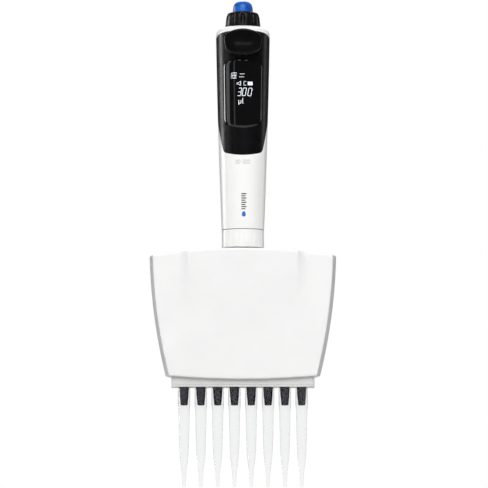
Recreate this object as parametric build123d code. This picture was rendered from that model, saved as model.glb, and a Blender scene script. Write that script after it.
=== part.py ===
from build123d import *

import math
import os

# An electronic pipette with a row of eight tips, in millimetres.
# +Z is up along the handle's axis, the display faces -Y, and the channels run along X.
# The origin is on the handle's axis, level with the ends of the tips.

# Channels
CHANNELS = 8
PITCH = 9.0  # the spacing of microplate wells
VOLUME = 300.0  # microlitres in each channel, which are cubic millimetres
STROKE = 15.0
PISTON_R = math.sqrt(VOLUME / (math.pi * STROKE))
CHANNEL_X = [(i - (CHANNELS - 1) / 2) * PITCH for i in range(CHANNELS)]

# Moving fits and travels
RUNNING = 0.08
GAP = 0.3
EJECT_TRAVEL = 4.5

# Handle: its ellipses are (height, half width, half depth)
HANDLE_BOTTOM = 138.0
HANDLE_TOP = 247.2
HANDLE_MIDDLE = (190.0, 13.25, 14.6)
HANDLE_NECK_R = 11.4
HANDLE_TOP_HALF_WIDTH = 14.55
HANDLE_TOP_HALF_DEPTH = 15.7
SHOULDER_R = 4.5
WALL = 1.8

# Housing screws and charging contacts, in the back of the handle
SCREW_HEIGHTS = (203.0, 225.0)
SCREW_X = 10.2
HOUSING_SCREW_TIP = -4.0
HOUSING_SCREW_SEAT = 5.6
HOUSING_POST_R = 2.3
CONTACT_X = 4.0
CONTACT_HEIGHT = 206.0
CONTACT_R = 1.5

# Every screw is drawn by its thread and its head, which sits in a counterbore
THREAD_R = 0.9
SCREW_HEAD_R = 1.7
SCREW_HEAD_HEIGHT = 1.2
COUNTERBORE_R = 1.8

# Display lens, in the front of the handle
LENS_LOW = 191.7
LENS_LOW_SAG = 2.6
LENS_LOW_HALF = 9.9
LENS_HIGH = 229.1
LENS_HIGH_SAG = 2.2
LENS_HIGH_HALF = 10.3
LENS_CORNER_R = 2.6
LENS_THICKNESS = 1.5

# Ejector key, proud of the fascia, and its stem
KEY_LOW = 230.3
KEY_HIGH = 244.6
KEY_LOW_HALF = 9.5
KEY_HIGH_HALF = 10.3
KEY_FRONT = 21.5
STEM_HALF = 4.0
STEM_LOW = 235.7
STEM_HIGH = 238.8

# Ejector rod, a flat bar behind the battery
EJECTOR_ROD_HALF = 2.0
EJECTOR_ROD_FRONT = 8.2
EJECTOR_ROD_BACK = 9.8

# Knob and button on the top of the handle
KNOB_LOW = 247.6
KNOB_HIGH = 255.6
KNOB_R = 9.5
KNOB_FLUTES = 10
FLUTE_R = 5.0
FLUTE_DEPTH = 0.42
RECESS_R = 5.95
RECESS_FLOOR = 250.4
ENCODER_R = 7.8
ENCODER_NECK_R = 4.6
ENCODER_LOW = 236.2
ENCODER_HIGH = 250.6
BUTTON_STEM_R = 2.2
BUTTON_STEM_LOW = 234.8
BUTTON_R = 5.65
BUTTON_LOW = 253.3
BUTTON_HIGH = 261.7
BUTTON_CEILING = 256.4

# Drive
MOTOR_R = 7.5
MOTOR_LOW = 173.0
MOTOR_HIGH = 195.0
BRACKET_THICKNESS = 1.5
LEAD_SCREW_R = 1.8
LEAD_SCREW_LOW = 128.0
LEAD_SCREW_HIGH = 191.0
NUT_LOW = 151.0
NUT_HIGH = 156.0
GUIDE_POST_X = 8.0
GUIDE_POST_R = 1.1
PUSH_ROD_R = 5.0

# Neck: the push rod in the ejector sleeve in the neck tube in the coupling nut
SLEEVE_IN = PUSH_ROD_R + GAP
SLEEVE_OUT = 6.6
SLEEVE_TOP = 150.0
NECK_IN = SLEEVE_OUT + GAP
NECK_OUT = 8.5
NECK_TOP = 143.0
BUSH_TOP = 141.0
NUT_RING_LOW = 128.2
NUT_RING_HIGH = 137.7
NUT_RING_R = 11.35
NUT_RING_FACETS = 24

# Head
HEAD_TOP = 127.3
HEAD_TOP_SAG = 3.8
HEAD_TOP_HALF = 50.1
HEAD_WAIST = (48.5, 99.6)
HEAD_LOW_HALF = 41.35
HEAD_BOTTOM = 57.4
HEAD_BOTTOM_SAG = 1.9
WING_TOP_DEPTH = 13.0
WING_LOW_DEPTH = 11.4
PANEL_TOP_HALF = 29.4
PANEL_TOP_DEPTH = 16.2
PANEL_FADE = 66.0
HEAD_WALL = 1.8
COVER_SCREWS = ((44.0, 112.0), (42.0, 87.0))  # (x, z) on the right half
COVER_SCREW_TIP = -6.0
COVER_SCREW_SEAT = 9.0
BOSS_R = 2.2

# Head frame
PLATE_HALF = 39.2
PLATE_DEPTH = 5.6
GUIDE_X = 36.8
GUIDE_R = 1.5
BLOCK_LOW = 62.0
BLOCK_HIGH = 82.0
SEAL_PLATE_HIGH = 84.0
TOP_PLATE_LOW = 117.5
TOP_PLATE_HIGH = 120.5
PISTON_LOW = 65.0
PISTON_PLATE_LOW = 85.5
PISTON_PLATE_HIGH = 89.5
CLAMP_HIGH = 91.5
COLLAR_HIGH = 94.5
PISTON_HEAD_R = 2.95

# Cones and tips
CONE_LOW = 43.7
CONE_LOW_R = 1.95
CONE_MIDDLE_R = 2.4
CONE_R = 2.6
CONE_FLANGE_R = 3.7
CONE_FLANGE_LOW = 57.0
CONE_BORE_R = 0.9
TIP_RIM = 52.9

# Ejector strip, yoke and its pins
STRIP_HALF = 38.3
STRIP_DEPTH = 9.2
STRIP_LOW = 53.4
STRIP_HIGH = 61.0
STRIP_FLOOR = 2.0
STRIP_WALL = 1.5
STRIP_HOLE_R = 2.95
STRIP_LIP = 0.8
STRIP_GROOVE = 0.2
YOKE_LOW = 113.0
YOKE_HIGH = 115.0
YOKE_PIN_X = 20.0
YOKE_PIN_Y = 9.0
YOKE_PIN_R = 1.2
YOKE_PIN_HEAD_LOW = 98.0
YOKE_PIN_HEAD_HIGH = 99.5


def rod(radius, low, high, x=0.0, y=0.0):
    """An upright cylinder between two heights."""
    return Pos(x, y, (low + high) / 2) * Cylinder(radius, high - low)


def tube(outer, inner, low, high, x=0.0, y=0.0):
    """An upright tube between two heights."""
    return rod(outer, low, high, x, y) - rod(inner, low - 1, high + 1, x, y)


def cross_rod(radius, front, back, x, z):
    """A cylinder that lies along Y."""
    centre = Pos(x, (front + back) / 2, z)
    return centre * Rot(90, 0, 0) * Cylinder(radius, back - front)


def slab(x_half, front, back, low, high):
    """A box centred on x = 0."""
    size = Box(2 * x_half, back - front, high - low)
    return Pos(0, (front + back) / 2, (low + high) / 2) * size


def turned(points):
    """A solid of revolution about +Z from its profile, given as (radius, height) points."""
    outline = Plane.XZ * make_face(Polyline(*points, close=True))
    return revolve(outline, Axis.Z)


def forwards(outline, back=0.0, depth=40.0):
    """A front-view outline, extruded towards the front from the plane y = back."""
    return Pos(0, back, 0) * extrude(Plane.XZ * outline, depth)


def through(outline, half_depth=40.0):
    """A front-view outline, extruded as far to the front as to the back."""
    return forwards(outline, half_depth, 2 * half_depth)


def arched_panel(low, low_sag, low_half, high, high_sag, high_half, corner):
    """A front-view outline with bowed ends, whose heights are those on the centre line."""
    bottom = ThreePointArc((-low_half, low + low_sag), (0, low), (low_half, low + low_sag))
    top = ThreePointArc((high_half, high - high_sag), (0, high), (-high_half, high - high_sag))
    outline = make_face(bottom + Line(bottom @ 1, top @ 0) + top + Line(top @ 1, bottom @ 0))
    return fillet(outline.vertices(), corner)


def spring(radius, wire, low, high, turns, x=0.0, y=0.0):
    """A coil spring whose wire, end to end, lies between two heights."""
    height = high - low - 2 * wire
    path = Helix(height / turns, height, radius)
    section = Plane(path @ 0, z_dir=path % 0) * Circle(wire)
    return Pos(x, y, low + wire) * sweep(section, path=path, is_frenet=True)


def mirrored_pair(solid):
    """A solid and its mirror image in the plane x = 0, as two separate solids."""
    return [solid, mirror(solid, Plane.YZ)]


def handle_form(inset=0.0):
    """The handle's outer form, or its hollow if inset: ellipses lofted up the axis."""
    middle, middle_half, middle_depth = HANDLE_MIDDLE
    sections = [
        (HANDLE_BOTTOM - inset, HANDLE_NECK_R, HANDLE_NECK_R),
        (middle, middle_half, middle_depth),
        (HANDLE_TOP - inset, HANDLE_TOP_HALF_WIDTH, HANDLE_TOP_HALF_DEPTH),
    ]
    form = loft([Pos(0, 0, z) * Ellipse(half - inset, depth - inset) for z, half, depth in sections])
    top_edge = form.edges().sort_by(Axis.Z)[-1]
    return fillet(top_edge, SHOULDER_R - inset)


def handle_skin(thickness=WALL):
    """The outermost layer of the handle, closed at its top."""
    return handle_form() - handle_form(thickness)


def fascia_outline():
    """The black front panel: a shield that is wider than the handle above its waist."""
    corner = (10.3, 179.0)
    waist = (13.0, 193.0)
    side = (14.8, 212.0)
    shoulder = (14.8, 243.0)
    bottom = ThreePointArc((-corner[0], corner[1]), (0, 177.2), corner)
    right = ThreePointArc(corner, waist, side) + Line(side, shoulder)
    top = ThreePointArc(shoulder, (0, 244.3), (-shoulder[0], shoulder[1]))
    outline = make_face(bottom + right + top + mirror(right, Plane.YZ))
    low_corners = outline.vertices().sort_by(Axis.Y)[:2]
    outline = fillet(low_corners, 3.0)
    high_corners = outline.vertices().sort_by(Axis.Y)[-2:]
    return fillet(high_corners, 4.2)


def lens_outline(inset=0.0):
    """The display window in front view, or the lens in it if inset."""
    low, low_half = LENS_LOW + inset, LENS_LOW_HALF - inset
    high, high_half = LENS_HIGH - inset, LENS_HIGH_HALF - inset
    return arched_panel(low, LENS_LOW_SAG, low_half, high, LENS_HIGH_SAG, high_half, LENS_CORNER_R)


def pan_screw(x, z, tip, seat):
    """A pan-head screw along Y, from its tip at the front to the seat that its head presses on."""
    head = cross_rod(SCREW_HEAD_R, seat, seat + SCREW_HEAD_HEIGHT, x, z)
    return cross_rod(THREAD_R, tip, seat, x, z) + head


def screw_bore(x, z, tip, seat):
    """The clearance hole and counterbore that a screw goes in from the back."""
    return cross_rod(THREAD_R + 0.1, tip, seat, x, z) + cross_rod(COUNTERBORE_R, seat, 30, x, z)


def housing_screw_places():
    """The (x, z) places of the screws that draw the rear shell to the fascia."""
    return [(x, z) for x in (-SCREW_X, SCREW_X) for z in SCREW_HEIGHTS]


def charge_contact(x):
    """A contact pad that fills its hole in the rear shell, flush with the shell's outside."""
    return handle_skin() & cross_rod(CONTACT_R, 5, 25, x, CONTACT_HEIGHT)


def rear_shell():
    """The white casing: a closed tube below, and the rear half of the handle above."""
    shell = handle_skin() - forwards(fascia_outline())
    for x, z in housing_screw_places():
        shell += cross_rod(HOUSING_POST_R, 0.1, 14, x, z) & handle_form(WALL / 2)
        shell -= screw_bore(x, z, HOUSING_SCREW_TIP - 1, HOUSING_SCREW_SEAT)
    for x in (-CONTACT_X, CONTACT_X):
        shell -= cross_rod(CONTACT_R, 5, 25, x, CONTACT_HEIGHT)
    return shell - rod(ENCODER_NECK_R, HANDLE_TOP - 3, HANDLE_TOP + 1)


def front_fascia():
    """The black front panel with its lens window, the key's slot and two rows of screw posts."""
    panel = handle_skin() & forwards(fascia_outline())
    panel -= forwards(lens_outline())
    slot_low = STEM_LOW - EJECT_TRAVEL - GAP
    panel -= slab(STEM_HALF + GAP, -30, -5, slot_low, STEM_HIGH + 0.2)
    for x, z in housing_screw_places():
        panel += cross_rod(2.0, HOUSING_SCREW_TIP - 0.6, -0.1, x, z) & handle_form(WALL / 2)
        panel -= cross_rod(THREAD_R, HOUSING_SCREW_TIP, 0, x, z)
    return panel


def display_lens():
    """The curved window over the display, flush with the fascia."""
    return handle_skin(LENS_THICKNESS) & forwards(lens_outline(inset=0.1))


def finger_rest():
    """The hook at the back, which hangs over the index finger or a stand's rail."""
    profile = Polyline(
        (10, 222), (15.8, 222), (17, 231.5), (31, 231.5), (37.3, 229), (38.2, 221.5),
        (41.5, 221.5), (41.5, 231), (36, 239), (24, 242), (10, 242), close=True,
    )
    outline = make_face(profile)
    inner = [v for v in outline.vertices() if 16.5 < v.X < 38 and v.Y < 232]
    outline = fillet(inner, 2.4)
    outer = [v for v in outline.vertices() if v.X > 35.9 and v.Y > 230.9]
    outline = fillet(outer, 3.5)
    tip = [v for v in outline.vertices() if v.X > 38 and v.Y < 222]
    outline = fillet(tip, 1.4)
    hook = extrude(Plane.YZ * outline, 8.0, both=True)
    sides = hook.faces().filter_by(Axis.X)
    hook = fillet(sides.edges(), 1.2)
    return hook - handle_form()


def swivel_bush():
    """The bearing ring in the handle's lower end that carries the neck's flange."""
    return tube(9.55, NECK_OUT + RUNNING, HANDLE_BOTTOM + GAP, BUSH_TOP)


def lcd_module():
    """The display's glass with its bezel behind the lens."""
    glass = slab(8.4, -9.0, -7.0, 196.0, 224.5)
    return glass + slab(7.4, -7.0, -6.5, 197.5, 223.0)


def main_board():
    """The upright circuit board behind the display, notched round the screw posts."""
    board = slab(10.0, -6.4, -4.9, 196.5, 228.0)
    for x, z in housing_screw_places():
        board -= cross_rod(2.4, -8, 0, x, z)
    return board


def battery():
    """A flat lithium cell between the main board and the ejector rod."""
    cell = slab(6.9, -4.7, 7.2, 196.5, 227.5)
    return fillet(cell.edges().filter_by(Axis.Z), 2.2)


def control_board():
    """The small round board under the button's switch."""
    return rod(7.9, 228.2, 229.4)


def button_switch():
    """A tactile switch with its plunger under the button's stem."""
    return Pos(0, 0, 230.3) * Box(6.0, 6.0, 1.8) + rod(1.6, 231.2, 232.1)


def rotary_encoder():
    """The encoder under the knob: its body below the handle's top, and a hollow neck through it."""
    body = rod(ENCODER_R, ENCODER_LOW, HANDLE_TOP - WALL)
    neck = rod(ENCODER_NECK_R, HANDLE_TOP - WALL, ENCODER_HIGH)
    return body + neck - rod(BUTTON_STEM_R + GAP, ENCODER_LOW - 1, ENCODER_HIGH + 1)


def adjusting_knob():
    """The fluted ring round the button."""
    profile = Polyline(
        (ENCODER_NECK_R + RUNNING, KNOB_LOW), (KNOB_R, KNOB_LOW), (KNOB_R - 0.15, KNOB_LOW + 1.6),
        (8.8, KNOB_HIGH - 1.9), (7.9, KNOB_HIGH - 0.5), (6.6, KNOB_HIGH), (RECESS_R, KNOB_HIGH),
        (RECESS_R, RECESS_FLOOR), (ENCODER_NECK_R + RUNNING, RECESS_FLOOR), close=True,
    )
    outline = make_face(profile)
    shoulder = [v for v in outline.vertices() if v.X > 7 and v.Y > KNOB_HIGH - 3]
    outline = fillet(shoulder, 0.6)
    knob = revolve(Plane.XZ * outline, Axis.Z)
    flute = Pos(KNOB_R + FLUTE_R - FLUTE_DEPTH, 0, KNOB_HIGH - 4) * Cylinder(FLUTE_R, 20)
    for i in range(KNOB_FLUTES):
        knob -= Rot(0, 0, (i + 0.5) * 360 / KNOB_FLUTES) * flute
    return knob


def operating_button():
    """The blue push button: a domed cap with a skirt in the knob's recess, and its stem."""
    crown = (4.75, BUTTON_HIGH - 0.3)
    skirt_in = BUTTON_R - 1.05
    profile = Polyline(
        (0, BUTTON_HIGH), (0, BUTTON_STEM_LOW), (BUTTON_STEM_R, BUTTON_STEM_LOW),
        (BUTTON_STEM_R, BUTTON_CEILING), (skirt_in, BUTTON_CEILING), (skirt_in, BUTTON_LOW),
        (BUTTON_R, BUTTON_LOW), (BUTTON_R, BUTTON_LOW + 1.9), crown, close=True,
    )
    outline = make_face(profile)
    edge = [v for v in outline.vertices() if (v.X, v.Y) == crown]
    outline = fillet(edge, 2.0)
    return revolve(Plane.XZ * outline, Axis.Z)


def ejector_key():
    """The thumb key: a dished block with an upright rear face, and the stem through its slot."""
    outline = arched_panel(KEY_LOW, 3.0, KEY_LOW_HALF, KEY_HIGH, 3.6, KEY_HIGH_HALF, 1.4)
    block = forwards(outline, -8.0, KEY_FRONT - 8.0)
    front_edges = block.faces().sort_by(Axis.Y)[0].edges()
    block = fillet(front_edges, 1.3)
    column = extrude(Ellipse(HANDLE_TOP_HALF_WIDTH + GAP, HANDLE_TOP_HALF_DEPTH + GAP), 260)
    dish_r = 9.0
    dish = Pos(0, -KEY_FRONT - dish_r + 0.8, 236.6) * Rot(0, 90, 0) * Cylinder(dish_r, 13.0)
    dish = fillet(dish.edges(), 1.0)
    stem = slab(STEM_HALF, -17.0, -10.6, STEM_LOW, STEM_HIGH)
    return block - column - dish + stem


def ejector_link():
    """The ring round the encoder that takes the key's motion from the front to the rod."""
    ring = tube(11.0, ENCODER_R + 0.5, STEM_LOW, STEM_HIGH)
    notch = slab(EJECTOR_ROD_HALF, EJECTOR_ROD_FRONT, EJECTOR_ROD_BACK, STEM_LOW - 1, STEM_HIGH + 1)
    return ring - notch - slab(STEM_HALF, -17, -10.6, STEM_LOW - 1, STEM_HIGH + 1)


def ejector_rod():
    """The flat bar behind the battery, from the link ring down to the sleeve's flange."""
    low = SLEEVE_TOP + 0.2
    return slab(EJECTOR_ROD_HALF, EJECTOR_ROD_FRONT, EJECTOR_ROD_BACK, low, STEM_HIGH)


def stepper_motor():
    """The motor's can on its face plate, with the lead screw's bore."""
    can = fillet(rod(MOTOR_R, MOTOR_LOW, MOTOR_HIGH).edges().sort_by(Axis.Z)[-1], 0.8)
    return can - rod(LEAD_SCREW_R + 0.2, MOTOR_LOW - 1, LEAD_SCREW_HIGH + 1)


def motor_bracket():
    """The plate across the handle that holds the motor, with the two posts that guide the nut."""
    plate = handle_form(WALL + 0.05) & slab(20, -20, 20, MOTOR_LOW - BRACKET_THICKNESS, MOTOR_LOW)
    plate -= rod(LEAD_SCREW_R + 0.6, MOTOR_LOW - 3, MOTOR_LOW + 1)
    plate -= slab(EJECTOR_ROD_HALF + 0.4, EJECTOR_ROD_FRONT - 0.4, 20, MOTOR_LOW - 3, MOTOR_LOW + 1)
    for x in (-GUIDE_POST_X, GUIDE_POST_X):
        plate += rod(GUIDE_POST_R, NUT_LOW, MOTOR_LOW - 1, x)
    return plate


def lead_screw():
    """The motor's screw, drawn by its thread's outside."""
    return rod(LEAD_SCREW_R, LEAD_SCREW_LOW, LEAD_SCREW_HIGH)


def drive_nut():
    """The nut on the lead screw, with two ears that slide on the bracket's posts."""
    body = rod(6.0, NUT_LOW, NUT_HIGH) + slab(8.0, -2.2, 2.2, NUT_LOW, NUT_HIGH)
    for x in (-GUIDE_POST_X, GUIDE_POST_X):
        body += rod(1.8, NUT_LOW, NUT_HIGH, x)
        body -= rod(GUIDE_POST_R + RUNNING, NUT_LOW - 1, NUT_HIGH + 1, x)
    return body - rod(LEAD_SCREW_R + RUNNING, NUT_LOW - 1, NUT_HIGH + 1)


def push_rod():
    """The hollow rod from the nut to the pistons, with a flange that lifts the clamp plate."""
    flange_low = CLAMP_HIGH + 0.2
    flange_high = COLLAR_HIGH - 1.4
    body = rod(4.4, flange_low, flange_high) + rod(3.4, flange_high, 98.0)
    body += rod(PUSH_ROD_R, 98.0, NUT_LOW)
    return body - rod(LEAD_SCREW_R + GAP, LEAD_SCREW_LOW - STROKE - 3, NUT_LOW + 1)


def coupling_nut():
    """The faceted ring that locks the head to the handle."""
    ring = tube(NUT_RING_R, NECK_OUT + RUNNING, NUT_RING_LOW, NUT_RING_HIGH)
    outer = ring.faces().filter_by(GeomType.CYLINDER).sort_by(SortBy.AREA)[-1]
    ring = fillet(outer.edges().filter_by(GeomType.CIRCLE), 0.4)
    hollow_r = 6.0
    middle = (NUT_RING_LOW + NUT_RING_HIGH) / 2
    hollow = Cylinder(hollow_r, NUT_RING_HIGH - NUT_RING_LOW - 2.4)
    hollow = Pos(NUT_RING_R + hollow_r - 0.12, 0, middle) * hollow
    for i in range(NUT_RING_FACETS):
        ring -= Rot(0, 0, i * 360 / NUT_RING_FACETS) * hollow
    return ring


def neck_tube():
    """The tube that the head hangs by: its flange turns on the swivel bush."""
    flange = tube(9.4, NECK_IN, BUSH_TOP + 0.1, NECK_TOP)
    return tube(NECK_OUT, NECK_IN, TOP_PLATE_LOW, NECK_TOP) + flange


def head_outline(inset=0.0, open_below=False):
    """The head in front view: arched above, narrowing downwards, and bowed at its lower edge."""
    top = ThreePointArc(
        (HEAD_TOP_HALF - inset, HEAD_TOP - HEAD_TOP_SAG - inset), (0, HEAD_TOP - inset),
        (-HEAD_TOP_HALF + inset, HEAD_TOP - HEAD_TOP_SAG - inset),
    )
    low_corner = (HEAD_LOW_HALF - inset, HEAD_BOTTOM + HEAD_BOTTOM_SAG)
    waist = (HEAD_WAIST[0] - inset, HEAD_WAIST[1])
    right = ThreePointArc(low_corner, waist, top @ 0)
    bottom = ThreePointArc((-low_corner[0], low_corner[1]), (0, HEAD_BOTTOM), low_corner)
    outline = make_face(bottom + right + top + mirror(right, Plane.YZ))
    if open_below:
        outline += Pos(0, HEAD_BOTTOM - 2) * Rectangle(2 * low_corner[0], 12)
        return outline
    low_corners = outline.vertices().sort_by(Axis.Y)[:2]
    outline = fillet(low_corners, 1.8)
    return fillet(outline.vertices().sort_by(Axis.Y)[-2:], 1.0)


def side_wedge(top_depth, low_depth, low, inset):
    """A block across the whole head, whose front and back lean in downwards."""
    lean = (top_depth - low_depth) / (HEAD_TOP - low)
    base = 40.0
    base_depth = low_depth - (low - base) * lean - inset
    profile = Polyline(
        (-base_depth, base), (base_depth, base), (top_depth - inset, HEAD_TOP),
        (top_depth - inset, HEAD_TOP + 5), (-top_depth + inset, HEAD_TOP + 5),
        (-top_depth + inset, HEAD_TOP), close=True,
    )
    return extrude(Plane.YZ * make_face(profile), 60, both=True)


def panel_outline(inset=0.0):
    """The raised centre panel in front view, whose sides curve inwards as they go down."""
    high = (PANEL_TOP_HALF - inset, HEAD_TOP + 1)
    middle = (28.4 - inset, 100.0)
    low = (20.5 - inset, PANEL_FADE - 4)
    right = ThreePointArc(low, middle, high)
    left = mirror(right, Plane.YZ)
    ends = Line((-low[0], low[1]), low) + Line(high, (-high[0], high[1]))
    return make_face(right + left + ends)


def head_form(inset=0.0):
    """The head's outer form, or its hollow if inset: two wings and a raised centre panel."""
    face = head_outline(inset, open_below=inset > 0)
    wings = through(face) & side_wedge(WING_TOP_DEPTH, WING_LOW_DEPTH, HEAD_BOTTOM, inset)
    panel = through(panel_outline(inset)) & through(face)
    panel &= side_wedge(PANEL_TOP_DEPTH, WING_LOW_DEPTH, PANEL_FADE, inset)
    return wings + panel


def cover_screw_places():
    """The (x, z) places of the screws that join the head's two covers."""
    return [(side * x, z) for x, z in COVER_SCREWS for side in (-1, 1)]


def head_cover(front):
    """One half of the head's casing, with its half of the neck's hole and its screw bosses."""
    cover = head_form() - head_form(HEAD_WALL)
    for x, z in cover_screw_places():
        cover += cross_rod(BOSS_R, -20, 20, x, z) & head_form(HEAD_WALL / 2)
        cover -= screw_bore(x, z, COVER_SCREW_TIP, COVER_SCREW_SEAT)
    cover -= rod(NECK_OUT + GAP, TOP_PLATE_HIGH, HEAD_TOP + 5)
    half = slab(60, -40, 0, 40, 140) if front else slab(60, 0, 40, 40, 140)
    return cover & half


def top_plate():
    """The plate inside the head's top that carries the neck tube, guide rods and yoke pins."""
    plate = slab(PLATE_HALF, -PLATE_DEPTH, PLATE_DEPTH, TOP_PLATE_LOW, TOP_PLATE_HIGH)
    plate += slab(25, -10.6, 10.6, TOP_PLATE_LOW, TOP_PLATE_HIGH)
    return plate - rod(NECK_OUT, TOP_PLATE_LOW - 1, TOP_PLATE_HIGH + 1)


def cylinder_block():
    """The block whose eight bores the pistons run in, with a socket for each cone below."""
    block = slab(PLATE_HALF, -PLATE_DEPTH, PLATE_DEPTH, BLOCK_LOW, BLOCK_HIGH)
    for x in CHANNEL_X:
        block -= rod(PISTON_R + RUNNING, PISTON_LOW - 0.5, BLOCK_HIGH + 1, x)
        block -= rod(3.6, BLOCK_HIGH - 1.5, BLOCK_HIGH + 1, x)
        block -= rod(1.9, BLOCK_LOW - 1, PISTON_LOW, x)
    return block


def seal_plate():
    """The plate screwed on the block that keeps the piston seals in."""
    plate = slab(PLATE_HALF, -PLATE_DEPTH, PLATE_DEPTH, BLOCK_HIGH, SEAL_PLATE_HIGH)
    for x in CHANNEL_X:
        plate -= rod(PISTON_R + 0.15, BLOCK_HIGH - 1, SEAL_PLATE_HIGH + 1, x)
    for x in (-GUIDE_X, GUIDE_X):
        plate -= rod(GUIDE_R, BLOCK_HIGH - 1, SEAL_PLATE_HIGH + 1, x)
    return plate


def piston_plate():
    """The plate that holds the pistons by their heads and slides on the guide rods."""
    plate = slab(PLATE_HALF, -PLATE_DEPTH, PLATE_DEPTH, PISTON_PLATE_LOW, PISTON_PLATE_HIGH)
    for x in CHANNEL_X:
        plate -= rod(PISTON_R + 0.1, PISTON_PLATE_LOW - 1, PISTON_PLATE_HIGH + 1, x)
        plate -= rod(PISTON_HEAD_R + 0.1, PISTON_PLATE_HIGH - 2, PISTON_PLATE_HIGH + 1, x)
    for x in (-GUIDE_X, GUIDE_X):
        plate -= rod(GUIDE_R + RUNNING, PISTON_PLATE_LOW - 1, PISTON_PLATE_HIGH + 1, x)
    return plate


def clamp_plate():
    """The plate over the piston heads, with the collar that holds the push rod's flange."""
    plate = slab(PLATE_HALF, -PLATE_DEPTH, PLATE_DEPTH, PISTON_PLATE_HIGH, CLAMP_HIGH)
    for x in (-GUIDE_X, GUIDE_X):
        plate -= rod(GUIDE_R + RUNNING, PISTON_PLATE_HIGH - 1, CLAMP_HIGH + 1, x)
    collar = tube(5.8, 4.7, CLAMP_HIGH, COLLAR_HIGH)
    lip = tube(5.8, 3.7, COLLAR_HIGH - 1.2, COLLAR_HIGH)
    return plate + collar + lip


def piston(x):
    """A plain piston with the head that the piston plate holds it by."""
    head_low = PISTON_PLATE_HIGH - 1.9
    head = rod(PISTON_HEAD_R, head_low, PISTON_PLATE_HIGH - 0.1, x)
    return rod(PISTON_R, PISTON_LOW, head_low, x) + head


def tip_cone(x):
    """A nozzle: a taper for the tip, a shaft through the strip, a flange and a spigot."""
    profile = [
        (CONE_BORE_R, CONE_LOW), (CONE_LOW_R - 0.25, CONE_LOW), (CONE_LOW_R, CONE_LOW + 0.4),
        (CONE_MIDDLE_R, 48.5), (CONE_R, TIP_RIM), (CONE_R, CONE_FLANGE_LOW), (CONE_FLANGE_R, CONE_FLANGE_LOW),
        (CONE_FLANGE_R, BLOCK_LOW), (1.88, BLOCK_LOW), (1.88, PISTON_LOW - 0.6),
        (CONE_BORE_R, PISTON_LOW - 0.6),
    ]
    groove = tube(CONE_R + 1, CONE_R - 0.25, TIP_RIM + 0.05, TIP_RIM + 0.65)
    return Pos(x, 0, 0) * (turned(profile) - groove)


def cone_o_ring(x):
    """The black ring in the groove at the top of a cone's taper."""
    return tube(CONE_R + 0.15, CONE_R - 0.25, TIP_RIM + 0.05, TIP_RIM + 0.65, x)


def tip(x):
    """A disposable tip: a sleeve over the cone, a step below it, and a drawn-out point."""
    outer = [
        (0.8, 0.0), (1.0, 3.9), (1.3, 8.8), (1.75, 12.5), (2.3, 16.3), (2.5, 21.0),
        (2.8, 32.4), (2.92, 41.0), (3.2, 43.0), (3.3, TIP_RIM),
    ]
    inner = [
        (2.65, TIP_RIM), (2.52, 43.4), (2.35, 41.2), (2.2, 32.4), (1.9, 21.0), (1.7, 16.3),
        (1.15, 12.5), (0.75, 8.8), (0.5, 3.9), (0.4, 0.0),
    ]
    return Pos(x, 0, 0) * turned(outer + inner)


def ejector_sleeve():
    """The sleeve in the neck, whose flange the ejector rod pushes at any turn of the head."""
    shaft = tube(SLEEVE_OUT, SLEEVE_IN, YOKE_HIGH, SLEEVE_TOP)
    return shaft + tube(9.4, SLEEVE_IN, SLEEVE_TOP - 2.0, SLEEVE_TOP)


def ejector_yoke():
    """The yoke under the sleeve: two legs carry the strip, and two ears slide on the pins."""
    plate = slab(23.0, -7.6, 11.2, YOKE_LOW, YOKE_HIGH) - rod(6.2, YOKE_LOW - 1, YOKE_HIGH + 1)
    leg_low = STRIP_LOW + STRIP_FLOOR
    for front in (-7.6, 6.2):
        plate += slab(10.0, front, front + 1.4, leg_low, YOKE_LOW)
    for x in (-YOKE_PIN_X, YOKE_PIN_X):
        plate -= rod(YOKE_PIN_R + RUNNING, YOKE_LOW - 1, YOKE_HIGH + 1, x, YOKE_PIN_Y)
    return plate


def ejector_strip():
    """The white tray under the head, which pushes the tips off."""
    tray = slab(STRIP_HALF, -STRIP_DEPTH, STRIP_DEPTH, STRIP_LOW, STRIP_HIGH)
    tray = fillet(tray.edges().filter_by(Axis.Z), 1.2)
    inner_half = STRIP_HALF - STRIP_WALL
    inner_depth = STRIP_DEPTH - STRIP_WALL
    tray -= slab(inner_half, -inner_depth, inner_depth, STRIP_LOW + STRIP_FLOOR, STRIP_HIGH + 1)
    for x in CHANNEL_X:
        tray -= rod(STRIP_HOLE_R, STRIP_LOW - 1, STRIP_HIGH, x)
    low, high = STRIP_LOW + STRIP_LIP, STRIP_LOW + STRIP_LIP + STRIP_GROOVE
    core_half, core_depth = STRIP_HALF - STRIP_GROOVE, STRIP_DEPTH - STRIP_GROOVE
    groove = slab(STRIP_HALF + 1, -STRIP_DEPTH - 1, STRIP_DEPTH + 1, low, high)
    groove -= slab(core_half, -core_depth, core_depth, low - 1, high + 1)
    return tray - groove


def yoke_pin():
    """The pin under the top plate that the yoke's ear slides on, with its spring's seat."""
    shaft = rod(YOKE_PIN_R, YOKE_PIN_HEAD_HIGH, TOP_PLATE_LOW, YOKE_PIN_X, YOKE_PIN_Y)
    head = rod(2.9, YOKE_PIN_HEAD_LOW, YOKE_PIN_HEAD_HIGH, YOKE_PIN_X, YOKE_PIN_Y)
    return shaft + head


def ejector_spring():
    """The coil on a yoke pin that returns the strip."""
    return spring(2.0, 0.3, YOKE_PIN_HEAD_HIGH, YOKE_LOW, 7, YOKE_PIN_X, YOKE_PIN_Y)


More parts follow.
